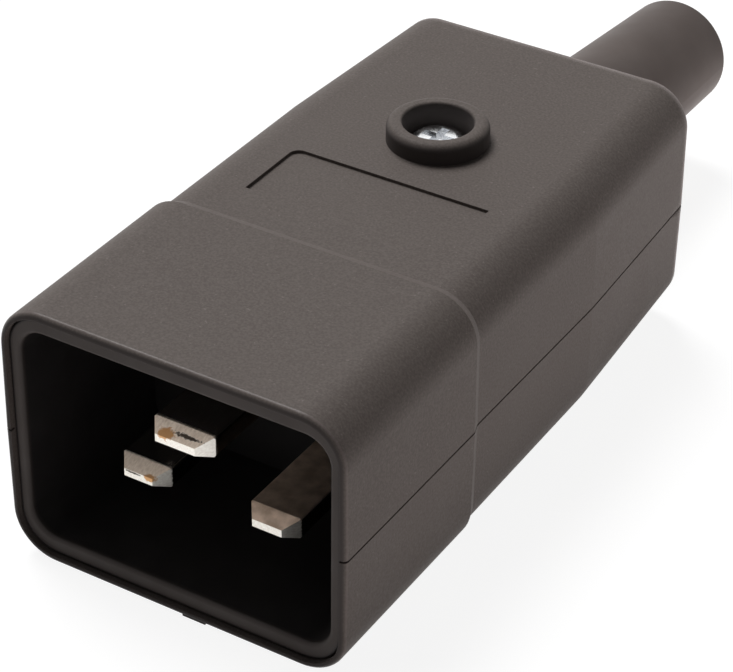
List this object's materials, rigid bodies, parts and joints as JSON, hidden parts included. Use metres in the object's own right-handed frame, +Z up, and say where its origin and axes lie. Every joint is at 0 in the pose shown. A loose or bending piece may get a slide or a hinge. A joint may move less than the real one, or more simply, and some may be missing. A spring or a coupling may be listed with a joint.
{
  "type": "iec power plug",
  "caption": "Rewireable power plug: flat pins in a rectangular shroud, screwed two-part housing, tapered bend relief sleeve for the cord.",
  "frame": {"origin": "middle of the plug's width and overall length, on the plane of the front section's flat underside", "axes": "+Y from the pin shroud to the cord sleeve, +Z up through the collar of the housing screw, +X to the right seen from the front"},
  "size_m": [0.0338, 0.094, 0.027],
  "materials": {
    "housing_plastic": "fine matte moulded grain, warm dark grey",
    "carrier_plastic": "smooth moulded, near black",
    "pin_metal": "nickel plated, brass showing at worn tips",
    "plated_steel": "bright zinc plated",
    "sleeve_rubber": "smooth, semi-gloss"
  },
  "bodies": {
    "root": {"upper_shell": "housing_plastic", "lower_shell": "housing_plastic", "pin_carrier": "carrier_plastic", "line_pin": "pin_metal", "neutral_pin": "pin_metal", "earth_pin": "pin_metal", "terminal_washers": "plated_steel", "terminal_screws": "plated_steel", "housing_screw": "plated_steel", "housing_nut": "plated_steel", "cord_clamp": "carrier_plastic", "cord_clamp_screws": "plated_steel", "bend_relief_sleeve": "sleeve_rubber"}
  },
  "joints": []
}
